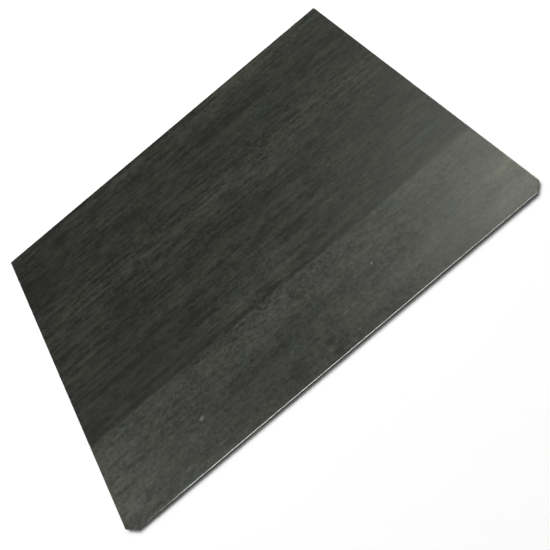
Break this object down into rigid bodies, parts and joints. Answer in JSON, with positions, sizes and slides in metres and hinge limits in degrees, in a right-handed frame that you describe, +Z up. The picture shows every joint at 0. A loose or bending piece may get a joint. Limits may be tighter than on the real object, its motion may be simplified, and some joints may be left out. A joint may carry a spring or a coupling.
{
  "type": "self-healing cutting mat",
  "caption": "Flat dark grey laminated cutting mat with two clipped front corners, laid under leather while it is cut or punched.",
  "frame": {"origin": "centre of the underside, on the surface that the mat lies on", "axes": "+Z up out of the upper cutting face, +X along the long side, -Y towards the front edge with the two clipped corners"},
  "size_m": [0.305, 0.229, 0.003],
  "materials": {
    "healing_pvc": "soft filled PVC, charcoal, satin matt with fine calender streaks along the long side",
    "blade_stop_pvc": "hard PVC, near black, seen only as a thin line in the cut edge",
    "core_pvc": "firm PVC, dark grey, seen only in the cut edge"
  },
  "bodies": {
    "root": {"top_healing_ply": "healing_pvc", "upper_blade_stop_ply": "blade_stop_pvc", "core_ply": "core_pvc", "lower_blade_stop_ply": "blade_stop_pvc", "bottom_healing_ply": "healing_pvc"}
  },
  "joints": []
}
